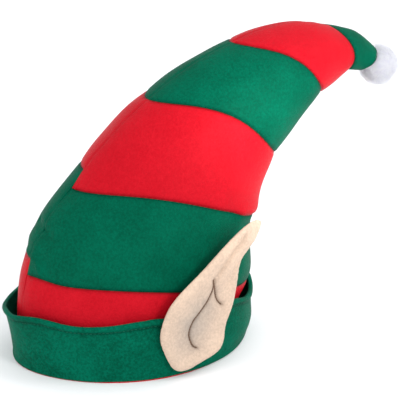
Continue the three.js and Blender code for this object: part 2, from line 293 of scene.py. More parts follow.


# Felt: cloudy dye, a brushed nap of small clumps and tangled fibres, with its relief, and painted
# shade in the ear's hollow and along grooves
def makeNapGroup():
    tree = bpy.data.node_groups.new("felt nap", "ShaderNodeTree")
    face = tree.interface
    for name in ("Dark", "Light"):
        face.new_socket(name, in_out="INPUT", socket_type="NodeSocketColor")
    for name in ("Mottle", "Seam Shade", "Relief"):
        face.new_socket(name, in_out="INPUT", socket_type="NodeSocketFloat")
    face.new_socket("Colour", in_out="OUTPUT", socket_type="NodeSocketColor")
    face.new_socket("Roughness", in_out="OUTPUT", socket_type="NodeSocketFloat")
    face.new_socket("Normal", in_out="OUTPUT", socket_type="NodeSocketVector")
    given = tree.nodes.new("NodeGroupInput")
    result = tree.nodes.new("NodeGroupOutput")
    place = addNode(tree, "ShaderNodeTexCoord").outputs["Object"]

    def addNoise(scale, detail, vector):
        values = {"Scale": scale, "Detail": detail, "Roughness": 0.6}
        node = addNode(tree, "ShaderNodeTexNoise", values)
        join(tree, vector, node.inputs["Vector"])
        return node

    cloud = addNoise(napGroup["cloudScale"], 3, place).outputs["Fac"]
    nap = addNoise(napGroup["napScale"], 4, place).outputs["Fac"]
    fine = addNoise(napGroup["fineScale"], 2, place).outputs["Fac"]
    swirl = addNoise(napGroup["swirlScale"], 2, place).outputs["Color"]
    bend = addNode(tree, "ShaderNodeVectorMath", operation="SCALE")
    bend.inputs["Scale"].default_value = napGroup["swirlReach"]
    join(tree, swirl, bend.inputs[0])
    bent = addNode(tree, "ShaderNodeVectorMath", operation="ADD")
    join(tree, place, bent.inputs[0])
    join(tree, bend.outputs[0], bent.inputs[1])
    strands = []
    for turn in ((0.3, 0.5, 0.2), (1.2, 0.3, 1.9), (0.4, 1.4, 1.1)):
        lay = addNode(tree, "ShaderNodeMapping")
        lay.inputs["Rotation"].default_value = turn
        lay.inputs["Scale"].default_value = (1, napGroup["fibreStretch"], napGroup["fibreStretch"])
        join(tree, bent.outputs[0], lay.inputs["Vector"])
        strands.append(addNoise(napGroup["fibreScale"], 1, lay.outputs["Vector"]).outputs["Fac"])
    tangle = addMath(tree, "MAXIMUM", addMath(tree, "MAXIMUM", strands[0], strands[1]), strands[2])
    tangle = addRange(tree, tangle, 0.5, 0.78)

    shade = addMath(tree, "MULTIPLY", addRange(tree, cloud, 0.35, 0.65), 0.3)
    clumps = addMath(tree, "MULTIPLY", addRange(tree, nap, 0.38, 0.62), 0.4)
    shade = addMath(tree, "ADD", shade, clumps)
    shade = addMath(tree, "ADD", shade, addMath(tree, "MULTIPLY", tangle, 0.3))
    centred = addMath(tree, "SUBTRACT", shade, 0.5)
    spread = addMath(tree, "MULTIPLY", centred, given.outputs["Mottle"])
    dye = addNode(tree, "ShaderNodeMix", data_type="RGBA")
    join(tree, addMath(tree, "ADD", spread, 0.5), dye.inputs["Factor"])
    join(tree, given.outputs["Dark"], dye.inputs["A"])
    join(tree, given.outputs["Light"], dye.inputs["B"])

    # Painted shade: where the hollow attribute is set, the dye is multiplied by a grey-blue tint
    hollow = addNode(tree, "ShaderNodeAttribute", attribute_name="hollow").outputs["Fac"]
    paintedHollowShade = addNode(
        tree,
        "ShaderNodeMix",
        {"B": napGroup["hollowTint"]},
        data_type="RGBA",
        blend_type="MULTIPLY",
    )
    join(tree, hollow, paintedHollowShade.inputs["Factor"])
    join(tree, dye.outputs["Result"], paintedHollowShade.inputs["A"])
    # Painted shade along sewn grooves, the hem and the ear's crease: the colour darkens by a point
    # attribute
    seam = addNode(tree, "ShaderNodeAttribute", attribute_name="seam").outputs["Fac"]
    seamShade = addMath(tree, "MULTIPLY", seam, given.outputs["Seam Shade"])
    depth = addMath(tree, "SUBTRACT", 1.0, seamShade)
    shaded = addNode(tree, "ShaderNodeVectorMath", operation="SCALE")
    join(tree, paintedHollowShade.outputs["Result"], shaded.inputs[0])
    join(tree, depth, shaded.inputs["Scale"])
    join(tree, shaded.outputs[0], result.inputs["Colour"])

    height = addMath(tree, "MULTIPLY", nap, 0.6)
    height = addMath(tree, "ADD", height, addMath(tree, "MULTIPLY", tangle, 0.3))
    height = addMath(tree, "ADD", height, addMath(tree, "MULTIPLY", fine, 0.25))
    bump = addNode(tree, "ShaderNodeBump", {"Distance": napGroup["bumpDistance"]})
    join(tree, height, bump.inputs["Height"])
    join(tree, given.outputs["Relief"], bump.inputs["Strength"])
    join(tree, bump.outputs["Normal"], result.inputs["Normal"])
    join(tree, addRange(tree, nap, 0.3, 0.7, 0.34, 0.48), result.inputs["Roughness"])
    return tree


def feltMaterial(name, group):
    look = feltLooks[name]
    material = bpy.data.materials.new(name.replace("_", " "))
    material.use_nodes = True
    tree = material.node_tree
    shader = tree.nodes["Principled BSDF"]
    shader.inputs["Specular IOR Level"].default_value = look["specular"]
    shader.inputs["Sheen Weight"].default_value = look["sheen"]
    shader.inputs["Sheen Roughness"].default_value = 0.6
    shader.inputs["Sheen Tint"].default_value = look["sheenTint"]
    nap = addNode(tree, "ShaderNodeGroup", node_tree=group)
    nap.inputs["Dark"].default_value = look["dark"]
    nap.inputs["Light"].default_value = look["light"]
    nap.inputs["Mottle"].default_value = look["mottle"]
    nap.inputs["Seam Shade"].default_value = look["seam"]
    nap.inputs["Relief"].default_value = look["relief"]
    join(tree, nap.outputs["Colour"], shader.inputs["Base Color"])
    join(tree, nap.outputs["Roughness"], shader.inputs["Roughness"])
    join(tree, nap.outputs["Normal"], shader.inputs["Normal"])
    return material


threadLooks = {
    "ear thread": (0.15, 0.088, 0.055, 1),
    "cuff thread": (0.0012, 0.1, 0.058, 1),
}

threadTwist = {"scale": 1800, "dark": 0.7, "light": 1.25, "specular": 0.3}


def threadMaterial(name):
    material = bpy.data.materials.new(name)
    material.use_nodes = True
    tree = material.node_tree
    shader = tree.nodes["Principled BSDF"]
    shader.inputs["Specular IOR Level"].default_value = threadTwist["specular"]
    place = addNode(tree, "ShaderNodeTexCoord").outputs["Object"]
    twist = addNode(tree, "ShaderNodeTexNoise", {"Scale": threadTwist["scale"], "Detail": 2})
    join(tree, place, twist.inputs["Vector"])
    tone = addNode(tree, "ShaderNodeMix", data_type="RGBA")
    colour = threadLooks[name]
    tone.inputs["A"].default_value = [threadTwist["dark"] * part for part in colour[:3]] + [1]
    tone.inputs["B"].default_value = [threadTwist["light"] * part for part in colour[:3]] + [1]
    join(tree, twist.outputs["Fac"], tone.inputs["Factor"])
    join(tree, tone.outputs["Result"], shader.inputs["Base Color"])
    rough = addRange(tree, twist.outputs["Fac"], 0.3, 0.7, 0.6, 0.85)
    join(tree, rough, shader.inputs["Roughness"])
    return material


plushLook = {
    "dark": (0.83, 0.83, 0.935, 1),
    "light": (0.925, 0.935, 0.985, 1),
    "scale": 260,
    "specular": 0.15,
    "sheen": 0.5,
    "sheenRoughness": 0.5,
    "glow": 0.6,
    "glowReach": (0.004, 0.004, 0.004),
}


def plushMaterial():
    material = bpy.data.materials.new("pompom plush")
    material.use_nodes = True
    tree = material.node_tree
    shader = tree.nodes["Principled BSDF"]
    shader.inputs["Specular IOR Level"].default_value = plushLook["specular"]
    shader.inputs["Sheen Weight"].default_value = plushLook["sheen"]
    shader.inputs["Sheen Roughness"].default_value = plushLook["sheenRoughness"]
    shader.inputs["Subsurface Weight"].default_value = plushLook["glow"]
    shader.inputs["Subsurface Radius"].default_value = plushLook["glowReach"]
    shader.inputs["Subsurface Scale"].default_value = 1.0
    place = addNode(tree, "ShaderNodeTexCoord").outputs["Object"]
    clump = addNode(tree, "ShaderNodeTexNoise", {"Scale": plushLook["scale"], "Detail": 3})
    join(tree, place, clump.inputs["Vector"])
    tone = addNode(tree, "ShaderNodeMix", data_type="RGBA")
    tone.inputs["A"].default_value = plushLook["dark"]
    tone.inputs["B"].default_value = plushLook["light"]
    join(tree, addRange(tree, clump.outputs["Fac"], 0.3, 0.6), tone.inputs["Factor"])
    join(tree, tone.outputs["Result"], shader.inputs["Base Color"])
    rough = addRange(tree, clump.outputs["Fac"], 0.3, 0.7, 0.75, 0.95)
    join(tree, rough, shader.inputs["Roughness"])
    return material


napTree = makeNapGroup()
felts = {name: feltMaterial(name, napTree) for name in feltLooks}
earThread = threadMaterial("ear thread")
cuffThread = threadMaterial("cuff thread")
plush = plushMaterial()
print("materials ready")


# Tools for felt pieces

weldDistance = 0.00001


def mergedCopy(node):
    bm = bmesh.new()
    bm.from_mesh(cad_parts[node].data)
    bmesh.ops.remove_doubles(bm, verts=bm.verts, dist=weldDistance)
    bmesh.ops.join_triangles(
        bm,
        faces=bm.faces,
        angle_face_threshold=math.radians(40),
        angle_shape_threshold=math.radians(75),
    )
    return bm


def sharpEdges(bm, degrees):
    limit = math.radians(degrees)
    return [e for e in bm.edges if len(e.link_faces) == 2 and e.calc_face_angle() > limit]


def roundEdges(bm, edges, offset, segments):
    bmesh.ops.bevel(
        bm,
        geom=edges,
        offset=offset,
        offset_type="OFFSET",
        segments=segments,
        profile=0.5,
        affect="EDGES",
        clamp_overlap=True,
        material=-1,
    )


# Puts the bmesh in a new object, smoothed by Subdivision Surface, with nothing left live
def smoothPiece(name, bm, levels):
    piece = link(name, bpy.data.meshes.new(name))
    bm.to_mesh(piece.data)
    bm.free()
    smoother = piece.modifiers.new("smooth", "SUBSURF")
    smoother.levels = levels
    smoother.render_levels = levels
    applyModifiers(piece)
    return piece


def applyModifiers(piece):
    depsgraph = bpy.context.evaluated_depsgraph_get()
    mesh = bpy.data.meshes.new_from_object(piece.evaluated_get(depsgraph))
    piece.modifiers.clear()
    old = piece.data
    piece.data = mesh
    bpy.data.meshes.remove(old)
    piece.data.name = piece.name


def finishPiece(piece, material, nodes=()):
    piece.data.materials.clear()
    piece.data.materials.append(material)
    piece.data.shade_smooth()
    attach(piece, "root")
    if nodes:
        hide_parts(*nodes)


# Stores painted shade per point, which darkens the felt's colour
def setShade(piece, values):
    attribute = piece.data.attributes.new("seam", "FLOAT", "POINT")
    attribute.data.foreach_set("value", values)


def ease(value, low, high):
    share = min(max((value - low) / (high - low), 0), 1)
    return share * share * (3 - 2 * share)


def ripple(place, length, seed=0.0):
    return noise.noise(place / length + Vector((seed, -seed, 2 * seed)))


# Places round the cuff

# Height of the rim round from the front to the back, as shares of the cuff's height
cuffRim = [
    {"around": 0, "height": 0.97},
    {"around": 45, "height": 0.98},
    {"around": 90, "height": 1.0},
    {"around": 135, "height": 0.96},
    {"around": 180, "height": 0.94},
]

cuffLow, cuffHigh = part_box("cuff")
cuffMiddle = (cuffLow + cuffHigh) / 2
cuffHalf = (cuffHigh - cuffLow) / 2
earLow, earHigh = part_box("ear_left")


# Degrees round the cuff from the front, to 180 at the back on either side
def cuffAround(place):
    ahead = (cuffMiddle.y - place.y) / cuffHalf.y
    return math.degrees(math.atan2(abs(place.x) / cuffHalf.x, ahead))


def rimHeight(around):
    for low, high in zip(cuffRim, cuffRim[1:]):
        if around <= high["around"]:
            share = (around - low["around"]) / (high["around"] - low["around"])
            height = low["height"] + (high["height"] - low["height"]) * share
            return cuffLow.z + height * (cuffHigh.z - cuffLow.z)
    return cuffLow.z + cuffRim[-1]["height"] * (cuffHigh.z - cuffLow.z)


def cuffOut(place):
    across = place.x / cuffHalf.x ** 2
    along = (place.y - cuffMiddle.y) / cuffHalf.y ** 2
    return Vector((across, along, 0)).normalized()


# How much higher or lower the rim hangs round the cuff, in degrees from the front to the left
rimShifts = [
    {"at": -180, "up": 0.0035},
    {"at": -165, "up": -0.002},
    {"at": -130, "up": -0.005},
    {"at": -95, "up": 0.0},
    {"at": -60, "up": 0.0},
    {"at": -28, "up": -0.0025},
    {"at": 0, "up": 0.003},
    {"at": 22, "up": 0.0068},
    {"at": 48, "up": 0.004},
    {"at": 72, "up": 0.007},
    {"at": 92, "up": 0.006},
    {"at": 118, "up": 0.0045},
    {"at": 144, "up": -0.0035},
    {"at": 153, "up": -0.004},
    {"at": 171, "up": 0.003},
    {"at": 180, "up": 0.0035},
]


def rimShift(place):
    at = math.copysign(cuffAround(place), place.x)
    for low, high in zip(rimShifts, rimShifts[1:]):
        if at <= high["at"]:
            return low["up"] + (high["up"] - low["up"]) * ease(at, low["at"], high["at"])
    return rimShifts[-1]["up"]


# Degrees round from the front over which the back of the cuff begins
backTurn = {"start": 100, "end": 128}

# How far from the middle an ear begins, and how far its hold reaches before and behind it
earHold = {"start": 0.062, "full": 0.07, "before": 0.01, "behind": 0.015}

# Degrees round from the front where the lip shows, and the share of it that does
lipSight = {"start": 48, "full": 62, "fading": 88, "gone": 104, "share": 0.25}


def backShare(place):
    return ease(cuffAround(place), backTurn["start"], backTurn["end"])


# 1 where an ear lies on the cuff
def underEar(place):
    beside = ease(abs(place.x), earHold["start"], earHold["full"])
    behind = 1 - ease(place.y, earHigh.y, earHigh.y + earHold["behind"])
    return beside * ease(place.y, earLow.y - earHold["before"], earLow.y) * behind


# Above 0 where the lip under the cuff stays in sight
def lipShows(place):
    around = cuffAround(place)
    shown = lipSight["share"] * ease(around, lipSight["start"], lipSight["full"])
    return shown * (1 - ease(around, lipSight["fading"], lipSight["gone"]))


# Crown

crown = {
    "sharp": 50,
    "edgeRound": 0.0007,
    "edgeSteps": 2,
    "closeUp": 0.0002,
    "panelGap": 0.0004,
    "panelPress": 0.00012,
    "lipTop": 0.003,
    "outerFacing": 0.35,
    "levels": 2,
    "sampleStep": 0.0012,
    "grooveDepth": 0.0009,
    "grooveWidth": 0.0028,
    "puckerDepth": 0.0004,
    "puckerLength": 0.008,
    "puckerReach": 0.007,
    "softDepth": 0.0011,
    "softLength": 0.042,
    "softFrom": 0.025,
    "softTo": 0.07,
    "shadeReach": 0.0012,
    "frontPlain": 0.55,
    "frontPale": 0.85,
}

# Middle of the crown from the opening to the tip
crownSpine = [
    {"back": -0.083, "up": 0.0},
    {"back": -0.077, "up": 0.062},
    {"back": -0.051, "up": 0.130},
    {"back": -0.003, "up": 0.189},
    {"back": 0.067, "up": 0.233},
    {"back": 0.113, "up": 0.245},
    {"back": 0.143, "up": 0.241},
    {"back": 0.171, "up": 0.228},
]

# Places where the felt hangs a little higher or lower
crownShifts = [
    {"at": (0.014, -0.174, 0.087), "move": (0, 0, 0.0035), "reach": 0.02},
    {"at": (0.0, 0.030, 0.238), "move": (0, -0.001, 0.0022), "reach": 0.032},
    {"at": (0.0, 0.100, 0.262), "move": (0, 0, -0.0012), "reach": 0.03},
    {"at": (0.0, 0.150, 0.250), "move": (0, 0.001, 0.0018), "reach": 0.02},
]

# Soft folds, each a line of points with its height and half width
crownFolds = [
    {
        "points": [(-0.022, -0.166, 0.107), (-0.010, -0.170, 0.105), (0.004, -0.171, 0.103)],
        "height": 0.0022,
        "width": 0.0075,
    },
    {
        "points": [(-0.020, -0.158, 0.121), (-0.006, -0.163, 0.119), (0.012, -0.162, 0.116)],
        "height": -0.0022,
        "width": 0.0035,
    },
    {
        "points": [
            (-0.014, -0.173, 0.097), (0.004, -0.175, 0.094),
            (0.012, -0.175, 0.091), (0.017, -0.175, 0.0845),
        ],
        "height": 0.0018,
        "width": 0.003,
    },
    {
        "points": [(0.010, -0.172, 0.099), (0.019, -0.173, 0.094), (0.024, -0.173, 0.086)],
        "height": -0.0014,
        "width": 0.004,
    },
    {
        "points": [(0.054, -0.006, 0.070), (0.047, 0.010, 0.062), (0.034, 0.022, 0.056)],
        "height": 0.0048,
        "width": 0.021,
    },
    {
        "points": [(0.055, -0.004, 0.122), (0.046, 0.010, 0.119), (0.034, 0.022, 0.117)],
        "height": 0.0042,
        "width": 0.008,
    },
    {
        "points": [(0.040, -0.145, 0.116), (0.062, -0.118, 0.104), (0.078, -0.080, 0.100)],
        "height": 0.0009,
        "width": 0.008,
    },
    {
        "points": [(0.044, -0.126, 0.133), (0.062, -0.090, 0.128), (0.068, -0.050, 0.130)],
        "height": -0.0011,
        "width": 0.009,
    },
]

strips = {
    "red_base": {"slot": "red_felt", "ring": 0.0032},
    "green_lower": {"slot": "green_felt", "ring": 0.0032},
    "red_middle": {"slot": "red_felt", "ring": 0.003},
    "green_upper": {"slot": "green_felt", "ring": 0.0026},
    "red_peak": {"slot": "red_felt", "ring": 0.0014},
    "green_tip": {"slot": "green_felt", "ring": 0.0006},
}


# Level direction away from the middle of the crown
def outwards(place):
    best = None
    for low, high in zip(crownSpine, crownSpine[1:]):
        start = Vector((0, low["back"], low["up"]))
        run = Vector((0, high["back"], high["up"])) - start
        share = min(max((place - start).dot(run) / run.length_squared, 0), 1)
        away = place - start - run * share
        if best is None or away.length_squared < best.length_squared:
            best = away
    return best.normalized()


def awayFrom(place, points):
    nearest = None
    for low, high in zip(points, points[1:]):
        start = Vector(low)
        run = Vector(high) - start
        share = min(max((place - start).dot(run) / run.length_squared, 0), 1)
        away = (place - start - run * share).length
        nearest = away if nearest is None else min(nearest, away)
    return nearest


def crownShift(place):
    move = Vector()
    for shift in crownShifts:
        away = (place - Vector(shift["at"])).length / shift["reach"]
        move += Vector(shift["move"]) * math.exp(-away * away)
    return move


def foldPush(place):
    push = 0.0
    for fold in crownFolds:
        away = awayFrom(place, fold["points"]) / fold["width"]
        if away < 3:
            push += fold["height"] * math.exp(-away * away)
    return push


def isOuter(face):
    middle = face.calc_center_median()
    return middle.z > crown["lipTop"] and face.normal.dot(outwards(middle)) > crown["outerFacing"]


# Points along the sewn edges of a strip's outer face
def sewnEdge(bm):
    points = []
    for edge in sharpEdges(bm, crown["sharp"]):
        start, end = (vert.co for vert in edge.verts)
        onOuter = any(isOuter(face) for face in edge.link_faces)
        if onOuter and (start.z + end.z) / 2 > crown["lipTop"]:
            steps = max(1, math.ceil((end - start).length / crown["sampleStep"]))
            points += [start.lerp(end, step / steps) for step in range(steps + 1)]
    tree = KDTree(len(points))
    for index, point in enumerate(points):
        tree.insert(point, index)
    tree.balance()
    return tree


# Faces of the felt's cut edge: two of their sides are sharp and don't meet
def cutFaces(bm):
    sharp = set(sharpEdges(bm, crown["sharp"]))
    found = []
    for face in bm.faces:
        sides = [edge for edge in face.edges if edge in sharp]
        apart = any(not set(a.verts) & set(b.verts) for a in sides for b in sides if a != b)
        if apart and face.calc_center_median().z > crown["lipTop"]:
            found.append(face)
    return found


# Moves the cut edges out so that sewn neighbours meet, and the two panels press together
def closeUp(bm):
    for vert in bm.verts:
        if abs(vert.co.x) < crown["panelGap"]:
            vert.co.x = math.copysign(crown["panelPress"], -vert.co.x)
    pushes = {}
    for face in cutFaces(bm):
        for vert in face.verts:
            pushes[vert] = pushes.get(vert, Vector()) + face.normal
    for vert, push in pushes.items():
        if push.length > 0 and abs(vert.co.x) > crown["panelGap"]:
            vert.co += push.normalized() * crown["closeUp"]


def makeStrip(node, slot, ring):
    bm = mergedCopy(node)
    bm.normal_update()
    edge = sewnEdge(bm)
    closeUp(bm)
    outer = [face for face in bm.faces if isOuter(face)]
    bmesh.ops.inset_region(bm, faces=outer, thickness=ring, use_even_offset=True, use_boundary=True)
    roundEdges(bm, sharpEdges(bm, crown["sharp"]), crown["edgeRound"], crown["edgeSteps"])
    piece = smoothPiece("felt_" + node, bm, crown["levels"])
    shades = []
    for vert in piece.data.vertices:
        away = edge.find(vert.co)[2]
        out = outwards(vert.co)
        frontSeam = 1 - ease(abs(vert.co.x), 0.001, 0.005)
        groove = (1 - ease(away, 0, crown["grooveWidth"])) * (1 - crown["frontPlain"] * frontSeam)
        pucker = ripple(vert.co, crown["puckerLength"], 3.1)
        pucker *= math.exp(-away / crown["puckerReach"])
        soft = ripple(vert.co, crown["softLength"], 7.7)
        soft *= crown["softDepth"] * ease(vert.co.z, crown["softFrom"], crown["softTo"])
        push = soft + foldPush(vert.co)
        push += crown["puckerDepth"] * pucker
        push -= crown["grooveDepth"] * groove
        if vert.co.z > crown["lipTop"]:
            vert.co += out * push + crownShift(vert.co)
        # Painted shade along the sewn grooves between strips, weaker at the front seam
        shades.append(math.exp(-away / crown["shadeReach"]) * (1 - crown["frontPale"] * frontSeam))
    setShade(piece, shades)
    finishPiece(piece, felts[slot], [node])
    return piece


for side in ("left", "right"):
    for name, strip in strips.items():
        makeStrip(name + "_" + side, strip["slot"], strip["ring"])
print("crown ready")


# Stitches

def smoothLine(points, step):
    ends = [points[0] * 2 - points[1]] + list(points) + [points[-1] * 2 - points[-2]]
    line = []
    for index in range(len(points) - 1):
        a, b, c, d = ends[index:index + 4]
        pieces = max(1, round((c - b).length / step))
        for piece in range(pieces):
            t = piece / pieces
            bend = (2 * a - 5 * b + 4 * c - d) * t * t + (3 * b - a - 3 * c + d) * t ** 3
            line.append(b + ((c - a) * t + bend) / 2)
    line.append(points[-1].copy())
    return line


def lineLength(line):
    return sum((b - a).length for a, b in zip(line, line[1:]))


# Places along a line a pitch apart, each with its direction
def pacedLine(line, pitch):
    count = max(1, int(lineLength(line) / pitch))
    spacing = lineLength(line) / count
    found = []
    walked = 0.0
    wanted = spacing / 2
    for a, b in zip(line, line[1:]):
        run = (b - a).length
        while run > 0 and wanted <= walked + run and len(found) < count:
            found.append((a.lerp(b, (wanted - walked) / run), (b - a).normalized()))
            wanted += spacing
        walked += run
    return found


# One thread stitch for each place, its length along the line and its height along out
def sewStitches(name, places, sewing, material, seed):
    pick = random.Random(seed)
    bm = bmesh.new()
    for place, along, out in places:
        across = out.cross(along).normalized()
        tilt = along + across * pick.uniform(-0.12, 0.12)
        turn = Matrix((tilt.normalized(), across, out)).transposed().to_4x4()
        length = sewing["stitchLength"] * pick.uniform(0.92, 1.05)
        size = Matrix.Diagonal((length, sewing["stitchWidth"], sewing["stitchWidth"] * 0.8, 1))
        matrix = Matrix.Translation(place) @ turn @ size
        bmesh.ops.create_icosphere(bm, subdivisions=2, radius=0.5, matrix=matrix)
    bmesh.ops.recalc_face_normals(bm, faces=bm.faces)
    piece = link(name, bpy.data.meshes.new(name))
    bm.to_mesh(piece.data)
    bm.free()
    finishPiece(piece, material)
    return piece


# Cuff

cuff = {
    "rimRound": 0.0013,
    "rimSteps": 3,
    "footRound": 0.0008,
    "levels": 2,
    "hem": 0.0058,
    "hemSwell": 0.0011,
    "grooveDepth": 0.0009,
    "grooveWidth": 0.0014,
    "waveDepth": 0.0022,
    "waveLength": 0.042,
    "liftShare": 0.8,
    "rimWave": 0.0022,
    "backSwell": 0.0019,
    "backGroove": 0.3,
    "puckerDepth": 0.0004,
    "puckerLength": 0.008,
    "puckerReach": 0.006,
    "drop": 0.0017,
    "dropReach": 0.005,
    "footSwell": 0.0012,
    "stitchPitch": 0.0034,
    "stitchLength": 0.0026,
    "stitchWidth": 0.0005,
    "stitchLift": 0.0001,
    "shadeReach": 0.0009,
    "shade": 0.8,
}


# Slow rise and fall of the rim
def rimLift(across, along):
    return ripple(Vector((across, along, 0)), cuff["waveLength"] * cuff["liftShare"], 8.4)


def makeCuff():
    bm = mergedCopy("cuff")
    bm.normal_update()
    sharp = sharpEdges(bm, 60)
    top = [e for e in sharp if all(v.co.z > rimHeight(cuffAround(v.co)) - 0.002 for v in e.verts)]
    roundEdges(bm, top, cuff["rimRound"], cuff["rimSteps"])
    foot = [e for e in sharpEdges(bm, 60) if all(v.co.z < cuffLow.z + 0.002 for v in e.verts)]
    roundEdges(bm, foot, cuff["footRound"], 2)
    piece = smoothPiece("felt_cuff", bm, cuff["levels"])
    shades = []
    normals = [vert.normal.copy() for vert in piece.data.vertices]
    for vert, normal in zip(piece.data.vertices, normals):
        place = vert.co.copy()
        out = cuffOut(place)
        rim = rimHeight(cuffAround(place))
        share = (place.z - cuffLow.z) / (rim - cuffLow.z)
        outer = ease(normal.dot(out), -0.1, 0.4)
        above = place.z - (rim - cuff["hem"])
        free = 1 - underEar(place)
        wave = ripple(Vector((place.x, place.y, 0.3 * place.z)), cuff["waveLength"], 1.3)
        push = cuff["waveDepth"] * wave * ease(share, 0.15, 1) * free
        groove = math.exp(-(above / cuff["grooveWidth"]) ** 2)
        groove *= 1 - (1 - cuff["backGroove"]) * backShare(place)
        swell = ease(above, 0, 0.002) * (1 - ease(above, 0.0035, 0.0065))
        pucker = ripple(place, cuff["puckerLength"], 5.2)
        pucker *= math.exp(-abs(above) / cuff["puckerReach"])
        push += outer * (cuff["hemSwell"] * swell - cuff["grooveDepth"] * groove)
        push += outer * cuff["puckerDepth"] * pucker * (1 - 0.7 * underEar(place))
        vert.co += out * push
        lift = rimLift(place.x, place.y)
        vert.co += out * cuff["backSwell"] * (1 - ease(share, 0.6, 1)) * backShare(place)
        vert.co.z += (cuff["rimWave"] * lift + rimShift(place)) * ease(share, 0.1, 1)
        low = 1 - ease(place.z - cuffLow.z, 0, cuff["dropReach"])
        cover = low * outer * (1 - lipShows(place))
        vert.co += out * cuff["footSwell"] * cover
        vert.co.z -= cuff["drop"] * cover
        # Painted shade along the hem's groove, on the outer face
        shades.append(cuff["shade"] * outer * math.exp(-abs(above) / cuff["shadeReach"]))
    setShade(piece, shades)
    finishPiece(piece, felts["cuff_felt"], ["cuff"])
    return piece


def surfaceOf(piece):
    depsgraph = bpy.context.evaluated_depsgraph_get()
    return BVHTree.FromObject(piece, depsgraph)


# The hem's row of stitches, sewn round the outer face just under the rim
def sewHem(piece):
    surface = surfaceOf(piece)
    ring = []
    for step in range(361):
        turn = math.radians(step)
        level = Vector((math.sin(turn) * cuffHalf.x, -math.cos(turn) * cuffHalf.y, 0))
        place = Vector((0, cuffMiddle.y, 0)) + level * 1.3
        lift = rimLift(0.9 * level.x, cuffMiddle.y + 0.9 * level.y)
        place.z = rimHeight(cuffAround(place)) - cuff["hem"]
        place.z += (cuff["rimWave"] * lift + rimShift(place)) * 0.95
        hit = surface.ray_cast(place, -level.normalized())[0]
        ring.append(hit)
    places = []
    for place, along in pacedLine(ring, cuff["stitchPitch"]):
        out = cuffOut(place)
        places.append((place + out * cuff["stitchLift"], along, out))
    return sewStitches("cuff_stitches", places, cuff, cuffThread, 11)


bandPiece = makeCuff()
sewHem(bandPiece)
print("cuff ready")


# Ears

ear = {
    "levels": 2,
    "voxel": 0.0016,
    "evenOut": 4,
    "slim": 0.0006,
    "pinReach": 0.0014,
    "edgeTurn": 0.35,
    "clothQuality": 6,
    "clothMass": 0.2,
    "clothStretch": 12,
    "clothBend": 0.4,
    "pressure": 3.5,
    "frames": 20,
    "cap": 0.0018,
    "grooveDepth": 0.0013,
    "grooveWidth": 0.0012,
    "puffDepth": 0.0005,
    "puffWidth": 0.004,
    "foldDepth": 0.0024,
    "foldWidth": 0.0026,
    "foldReach": 0.03,
    "wallDepth": 0.0022,
    "wallWidth": 0.007,
    "wallReach": 0.02,
    "softDepth": 0.0008,
    "softLength": 0.028,
    "nearDepth": 0.00035,
    "nearLength": 0.007,
    "nearReach": 0.01,
    "cupDepth": 0.0028,
    "cupBack": -0.069,
    "cupUp": 0.046,
    "cupAcross": 0.019,
    "cupAlong": 0.03,
    "stitchPitch": 0.0023,
    "stitchLength": 0.0026,
    "stitchWidth": 0.0015,
    "stitchLift": 0.0002,
    "lineStep": 0.001,
    "shadeReach": 0.0014,
    "creaseShade": 0.25,
    "creaseReach": 0.002,
    "patchLength": 0.012,
}

# Pulls that give the outline its corners: where, how far back and up, and how wide
earPulls = [
    {"back": -0.078, "up": 0.006, "moveBack": -0.004, "moveUp": 0.0015, "reach": 0.016},
    {"back": -0.060, "up": 0.005, "moveBack": 0.001, "moveUp": 0.003, "reach": 0.012},
    {"back": -0.043, "up": 0.020, "moveBack": 0.0035, "moveUp": -0.001, "reach": 0.014},
    {"back": -0.020, "up": 0.092, "moveBack": -0.003, "moveUp": 0.001, "reach": 0.014},
    {"back": -0.003, "up": 0.124, "moveBack": 0.003, "moveUp": 0.0005, "reach": 0.016},
]

# Routes of the two lines of stitches and of the fold above them, back and up
earRoutes = {
    "long": [
        (-0.0498, 0.0814), (-0.0512, 0.0727), (-0.0561, 0.0628),
        (-0.0629, 0.0551), (-0.0697, 0.0475), (-0.0736, 0.0392),
        (-0.0736, 0.0337), (-0.0707, 0.0266), (-0.0673, 0.0239),
    ],
    "short": [
        (-0.0498, 0.0814), (-0.0493, 0.0750), (-0.0463, 0.0644),
        (-0.0433, 0.0592), (-0.0404, 0.0563),
    ],
    "fold": [
        (-0.0498, 0.0814), (-0.0415, 0.0888), (-0.0317, 0.0978),
        (-0.0210, 0.1074), (-0.0141, 0.1179),
    ],
}


def routeLine(name):
    return smoothLine([Vector((0, back, up)) for back, up in earRoutes[name]], ear["lineStep"])


def lineTree(*names):
    points = [point for name in names for point in routeLine(name)]
    tree = KDTree(len(points))
    for index, point in enumerate(points):
        tree.insert(point, index)
    tree.balance()
    return tree


earStitchTree = lineTree("long", "short")
earFoldTree = lineTree("fold")
earFoldLine = routeLine("fold")


def flat(place):
    return Vector((0, place.y, place.z))


# A slimmer, evenly meshed pad, which the filling then swells
def earBlank(node, sign):
    piece = smoothPiece("padded_" + node, mergedCopy(node), ear["levels"])
    remesh = piece.modifiers.new("even mesh", "REMESH")
    remesh.mode = "VOXEL"
    remesh.voxel_size = ear["voxel"]
    applyModifiers(piece)
    bm = bmesh.new()
    bm.from_mesh(piece.data)
    for _ in range(ear["evenOut"]):
        bmesh.ops.smooth_vert(
            bm, verts=bm.verts, factor=0.5, use_axis_x=True, use_axis_y=True, use_axis_z=True
        )
    bm.normal_update()
    for vert in bm.verts:
        facing = vert.normal.x * sign
        if facing > ear["edgeTurn"]:
            vert.co -= vert.normal * ear["slim"]
    bm.to_mesh(piece.data)
    bm.free()
    return piece


